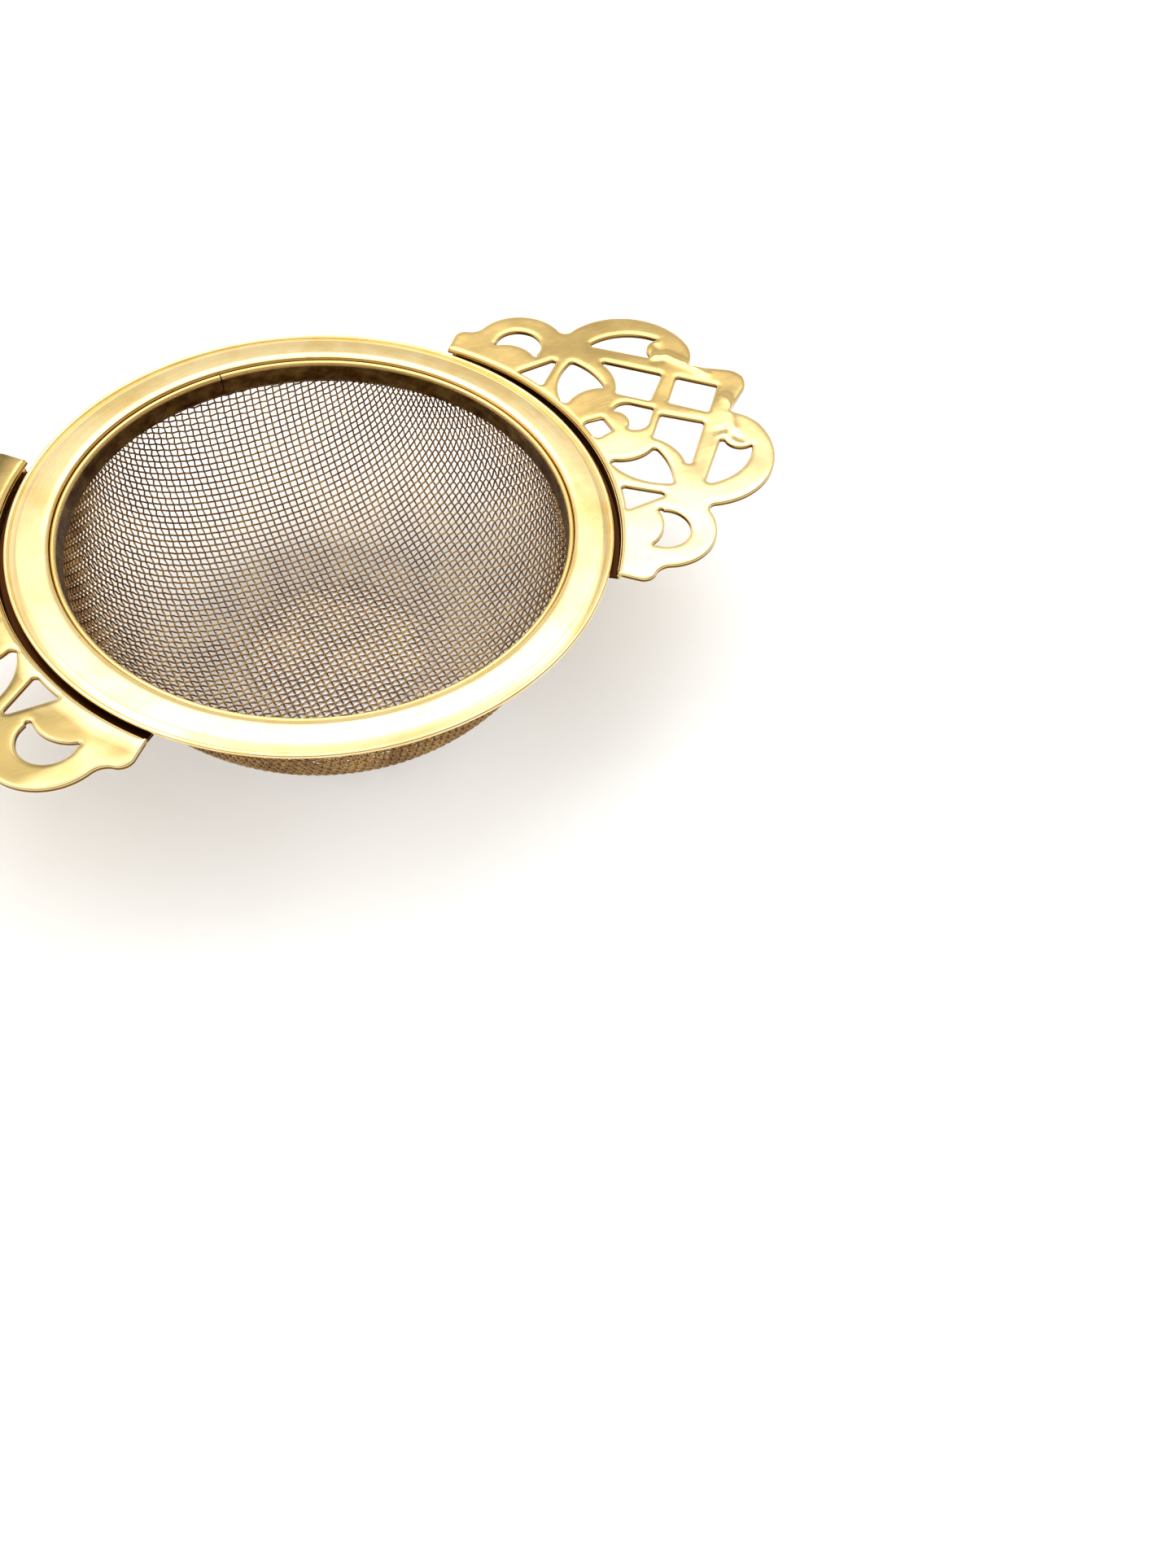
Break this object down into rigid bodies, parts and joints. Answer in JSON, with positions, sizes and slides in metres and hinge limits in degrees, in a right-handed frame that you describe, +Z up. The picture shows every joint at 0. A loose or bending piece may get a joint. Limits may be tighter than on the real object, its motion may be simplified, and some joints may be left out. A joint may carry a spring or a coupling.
{
  "type": "tea strainer",
  "caption": "Round tea strainer: a woven wire bowl clamped in a pressed gold-coloured rim, with flat pierced scrollwork handles on opposite sides that rest across a cup.",
  "frame": {"origin": "centre of the flat underside of the wire bowl, on the bowl's axis", "axes": "+Z up out of the open mouth, +X through the tip of handle_right and -X through the tip of handle_left, +Y across the handles"},
  "size_m": [0.1096, 0.064, 0.0238],
  "materials": {
    "rim": "polished, fine turning marks",
    "collar": "polished, tarnished brown inside",
    "wire": "drawn wire, tea-stained",
    "handles": "satin polished"
  },
  "bodies": {
    "root": {"rim_ring": "rim", "inner_collar": "collar", "mesh_bowl": "wire", "handle_left": "handles", "handle_right": "handles"}
  },
  "joints": []
}
